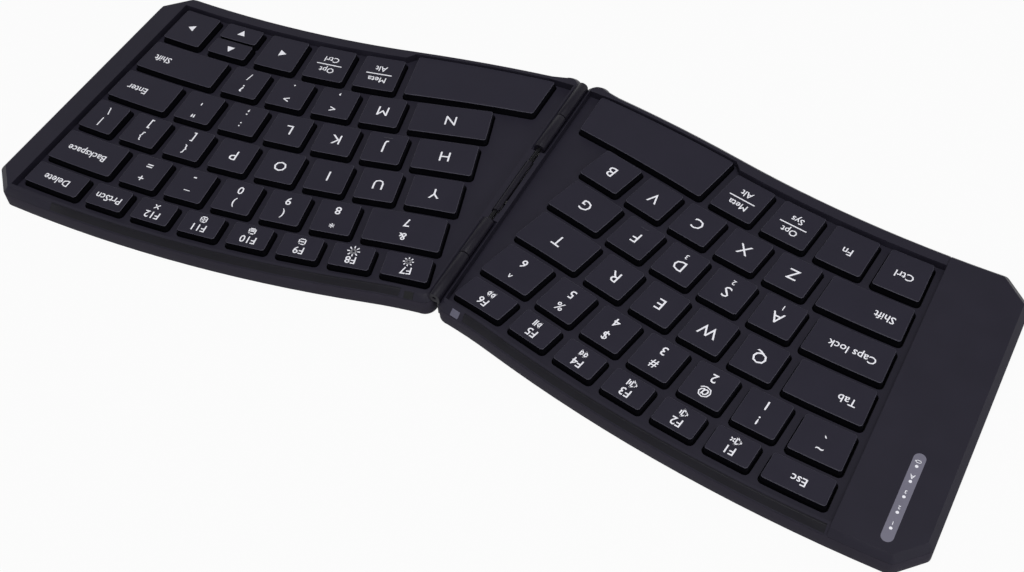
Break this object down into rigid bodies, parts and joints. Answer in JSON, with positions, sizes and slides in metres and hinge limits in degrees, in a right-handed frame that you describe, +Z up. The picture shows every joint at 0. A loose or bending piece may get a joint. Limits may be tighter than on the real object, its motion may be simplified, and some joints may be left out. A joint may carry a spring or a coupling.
{
  "type": "folding keyboard",
  "caption": "Folding keyboard lying open: arched halves on a centre hinge, sprung keys in sunken wells, beveled rims, an indicator window and a side charging socket.",
  "frame": {"origin": "middle of the open keyboard's footprint, on the surface it stands on; the hinge axis runs along Y above it", "axes": "+X to the user's right, +Y away from the user, +Z up out of the keys"},
  "size_m": [0.33, 0.1324, 0.0108],
  "materials": {
    "shell": "fine matte texture, dark grey",
    "frame": "satin, dark grey",
    "trim": "satin metal look, grey",
    "keycap": "matte tops with glossier sides, near black",
    "plate": "brushed",
    "membrane_film": "smooth film",
    "dome_silicone": "translucent white silicone",
    "scissor_plastic": "moulded",
    "hinge_metal": "satin dark coating",
    "pin_steel": "ground",
    "battery_foil": "foil",
    "board": "solder mask",
    "window": "smoked, polished",
    "led": "clear resin",
    "socket_steel": "plated",
    "flex_film": "amber film",
    "screw_steel": "blackened",
    "rubber_feet": "matte rubber"
  },
  "bodies": {
    "left_half": {"left_bottom_cover": "shell", "left_top_frame": "frame", "left_back_trim": "trim", "left_support_plate": "plate", "left_membrane": "membrane_film", "left_domes": "dome_silicone", "left_scissor_frames": "scissor_plastic", "left_hinge_leaf": "hinge_metal", "left_rubber_pads": "rubber_feet", "left_screws": "screw_steel", "battery": "battery_foil", "main_board": "board", "indicator_window": "window", "indicator_leds": "led", "charge_port": "socket_steel", "hinge_pin": "pin_steel", "hinge_sleeve": "hinge_metal", "flex_cable_left": "flex_film"},
    "right_half": {"right_bottom_cover": "shell", "right_top_frame": "frame", "right_back_trim": "trim", "right_support_plate": "plate", "right_membrane": "membrane_film", "right_domes": "dome_silicone", "right_scissor_frames": "scissor_plastic", "right_hinge_leaf": "hinge_metal", "right_rubber_pads": "rubber_feet", "right_screws": "screw_steel", "flex_cable_right": "flex_film"},
    "left_function_keys_body": {"left_function_keys": "keycap"},
    "left_number_keys_body": {"left_number_keys": "keycap"},
    "left_modifier_keys_body": {"left_modifier_keys": "keycap"},
    "left_lower_letters_body": {"left_lower_letters": "keycap"},
    "left_space_key_body": {"left_space_key": "keycap"},
    "key_q_body": {"key_q": "keycap"},
    "key_w_body": {"key_w": "keycap"},
    "key_e_body": {"key_e": "keycap"},
    "key_r_body": {"key_r": "keycap"},
    "key_t_body": {"key_t": "keycap"},
    "key_a_body": {"key_a": "keycap"},
    "key_s_body": {"key_s": "keycap"},
    "key_d_body": {"key_d": "keycap"},
    "key_f_body": {"key_f": "keycap"},
    "key_g_body": {"key_g": "keycap"},
    "right_function_keys_body": {"right_function_keys": "keycap"},
    "right_number_keys_body": {"right_number_keys": "keycap"},
    "right_modifier_keys_body": {"right_modifier_keys": "keycap"},
    "punctuation_keys_body": {"punctuation_keys": "keycap"},
    "arrow_keys_body": {"arrow_keys": "keycap"},
    "right_lower_letters_body": {"right_lower_letters": "keycap"},
    "right_space_key_body": {"right_space_key": "keycap"},
    "key_y_body": {"key_y": "keycap"},
    "key_u_body": {"key_u": "keycap"},
    "key_i_body": {"key_i": "keycap"},
    "key_o_body": {"key_o": "keycap"},
    "key_p_body": {"key_p": "keycap"},
    "key_h_body": {"key_h": "keycap"},
    "key_j_body": {"key_j": "keycap"},
    "key_k_body": {"key_k": "keycap"},
    "key_l_body": {"key_l": "keycap"}
  },
  "joints": [
    {"name": "fold", "type": "hinge", "parent": "left_half", "child": "right_half", "pos_m": [0, 0, 0.0089], "axis": [0, -1, 0], "range_deg": [0, 180]},
    {"name": "press_left_function_keys", "type": "slide", "parent": "left_half", "child": "left_function_keys_body", "axis": [0, 0, 1], "range_m": [-0.0018, 0], "stiffness_N_per_m": 2100, "springref_m": 0.0007},
    {"name": "press_left_number_keys", "type": "slide", "parent": "left_half", "child": "left_number_keys_body", "axis": [0, 0, 1], "range_m": [-0.0018, 0], "stiffness_N_per_m": 2100, "springref_m": 0.0007},
    {"name": "press_left_modifier_keys", "type": "slide", "parent": "left_half", "child": "left_modifier_keys_body", "axis": [0, 0, 1], "range_m": [-0.0018, 0], "stiffness_N_per_m": 2100, "springref_m": 0.0007},
    {"name": "press_left_lower_letters", "type": "slide", "parent": "left_half", "child": "left_lower_letters_body", "axis": [0, 0, 1], "range_m": [-0.0018, 0], "stiffness_N_per_m": 1500, "springref_m": 0.0007},
    {"name": "press_left_space_key", "type": "slide", "parent": "left_half", "child": "left_space_key_body", "axis": [0, 0, 1], "range_m": [-0.0018, 0], "stiffness_N_per_m": 300, "springref_m": 0.0007},
    {"name": "press_q", "type": "slide", "parent": "left_half", "child": "key_q_body", "axis": [0, 0, 1], "range_m": [-0.0018, 0], "stiffness_N_per_m": 300, "springref_m": 0.0007},
    {"name": "press_w", "type": "slide", "parent": "left_half", "child": "key_w_body", "axis": [0, 0, 1], "range_m": [-0.0018, 0], "stiffness_N_per_m": 300, "springref_m": 0.0007},
    {"name": "press_e", "type": "slide", "parent": "left_half", "child": "key_e_body", "axis": [0, 0, 1], "range_m": [-0.0018, 0], "stiffness_N_per_m": 300, "springref_m": 0.0007},
    {"name": "press_r", "type": "slide", "parent": "left_half", "child": "key_r_body", "axis": [0, 0, 1], "range_m": [-0.0018, 0], "stiffness_N_per_m": 300, "springref_m": 0.0007},
    {"name": "press_t", "type": "slide", "parent": "left_half", "child": "key_t_body", "axis": [0, 0, 1], "range_m": [-0.0018, 0], "stiffness_N_per_m": 300, "springref_m": 0.0007},
    {"name": "press_a", "type": "slide", "parent": "left_half", "child": "key_a_body", "axis": [0, 0, 1], "range_m": [-0.0018, 0], "stiffness_N_per_m": 300, "springref_m": 0.0007},
    {"name": "press_s", "type": "slide", "parent": "left_half", "child": "key_s_body", "axis": [0, 0, 1], "range_m": [-0.0018, 0], "stiffness_N_per_m": 300, "springref_m": 0.0007},
    {"name": "press_d", "type": "slide", "parent": "left_half", "child": "key_d_body", "axis": [0, 0, 1], "range_m": [-0.0018, 0], "stiffness_N_per_m": 300, "springref_m": 0.0007},
    {"name": "press_f", "type": "slide", "parent": "left_half", "child": "key_f_body", "axis": [0, 0, 1], "range_m": [-0.0018, 0], "stiffness_N_per_m": 300, "springref_m": 0.0007},
    {"name": "press_g", "type": "slide", "parent": "left_half", "child": "key_g_body", "axis": [0, 0, 1], "range_m": [-0.0018, 0], "stiffness_N_per_m": 300, "springref_m": 0.0007},
    {"name": "press_right_function_keys", "type": "slide", "parent": "right_half", "child": "right_function_keys_body", "axis": [0, 0, 1], "range_m": [-0.0018, 0], "stiffness_N_per_m": 2400, "springref_m": 0.0007},
    {"name": "press_right_number_keys", "type": "slide", "parent": "right_half", "child": "right_number_keys_body", "axis": [0, 0, 1], "range_m": [-0.0018, 0], "stiffness_N_per_m": 2100, "springref_m": 0.0007},
    {"name": "press_right_modifier_keys", "type": "slide", "parent": "right_half", "child": "right_modifier_keys_body", "axis": [0, 0, 1], "range_m": [-0.0018, 0], "stiffness_N_per_m": 1200, "springref_m": 0.0007},
    {"name": "press_punctuation_keys", "type": "slide", "parent": "right_half", "child": "punctuation_keys_body", "axis": [0, 0, 1], "range_m": [-0.0018, 0], "stiffness_N_per_m": 2400, "springref_m": 0.0007},
    {"name": "press_arrow_keys", "type": "slide", "parent": "right_half", "child": "arrow_keys_body", "axis": [0, 0, 1], "range_m": [-0.0018, 0], "stiffness_N_per_m": 1200, "springref_m": 0.0007},
    {"name": "press_right_lower_letters", "type": "slide", "parent": "right_half", "child": "right_lower_letters_body", "axis": [0, 0, 1], "range_m": [-0.0018, 0], "stiffness_N_per_m": 600, "springref_m": 0.0007},
    {"name": "press_right_space_key", "type": "slide", "parent": "right_half", "child": "right_space_key_body", "axis": [0, 0, 1], "range_m": [-0.0018, 0], "stiffness_N_per_m": 300, "springref_m": 0.0007},
    {"name": "press_y", "type": "slide", "parent": "right_half", "child": "key_y_body", "axis": [0, 0, 1], "range_m": [-0.0018, 0], "stiffness_N_per_m": 300, "springref_m": 0.0007},
    {"name": "press_u", "type": "slide", "parent": "right_half", "child": "key_u_body", "axis": [0, 0, 1], "range_m": [-0.0018, 0], "stiffness_N_per_m": 300, "springref_m": 0.0007},
    {"name": "press_i", "type": "slide", "parent": "right_half", "child": "key_i_body", "axis": [0, 0, 1], "range_m": [-0.0018, 0], "stiffness_N_per_m": 300, "springref_m": 0.0007},
    {"name": "press_o", "type": "slide", "parent": "right_half", "child": "key_o_body", "axis": [0, 0, 1], "range_m": [-0.0018, 0], "stiffness_N_per_m": 300, "springref_m": 0.0007},
    {"name": "press_p", "type": "slide", "parent": "right_half", "child": "key_p_body", "axis": [0, 0, 1], "range_m": [-0.0018, 0], "stiffness_N_per_m": 300, "springref_m": 0.0007},
    {"name": "press_h", "type": "slide", "parent": "right_half", "child": "key_h_body", "axis": [0, 0, 1], "range_m": [-0.0018, 0], "stiffness_N_per_m": 300, "springref_m": 0.0007},
    {"name": "press_j", "type": "slide", "parent": "right_half", "child": "key_j_body", "axis": [0, 0, 1], "range_m": [-0.0018, 0], "stiffness_N_per_m": 300, "springref_m": 0.0007},
    {"name": "press_k", "type": "slide", "parent": "right_half", "child": "key_k_body", "axis": [0, 0, 1], "range_m": [-0.0018, 0], "stiffness_N_per_m": 300, "springref_m": 0.0007},
    {"name": "press_l", "type": "slide", "parent": "right_half", "child": "key_l_body", "axis": [0, 0, 1], "range_m": [-0.0018, 0], "stiffness_N_per_m": 300, "springref_m": 0.0007}
  ]
}
